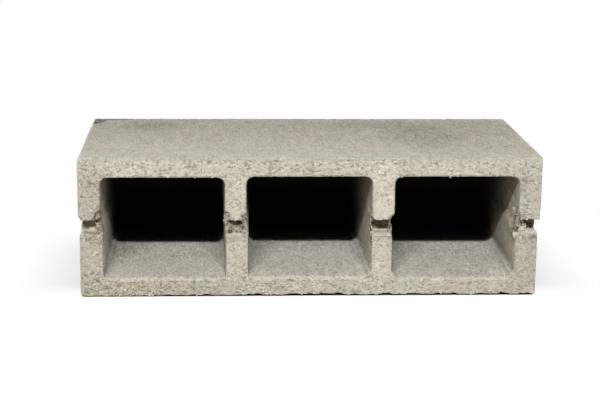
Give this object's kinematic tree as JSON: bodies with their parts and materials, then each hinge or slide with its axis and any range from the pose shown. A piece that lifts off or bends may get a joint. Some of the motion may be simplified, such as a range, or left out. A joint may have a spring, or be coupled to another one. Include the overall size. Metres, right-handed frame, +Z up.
{
  "type": "concrete block",
  "caption": "Cellular concrete block with tapered cells open at one bed and closed at the other, and a core-bar slot across the open bed.",
  "frame": {"origin": "on the ground under the block's middle, the block lying on one face shell", "axes": "+X along the block's length, +Y from the open bed to the closed bed (the course height), +Z up through the block's thickness in the wall"},
  "size_m": [0.39, 0.19, 0.12],
  "materials": {
    "concrete": "dry-cast concrete: open granular bed, closer grey moulded faces"
  },
  "bodies": {
    "root": {"block_body": "concrete"}
  },
  "joints": []
}
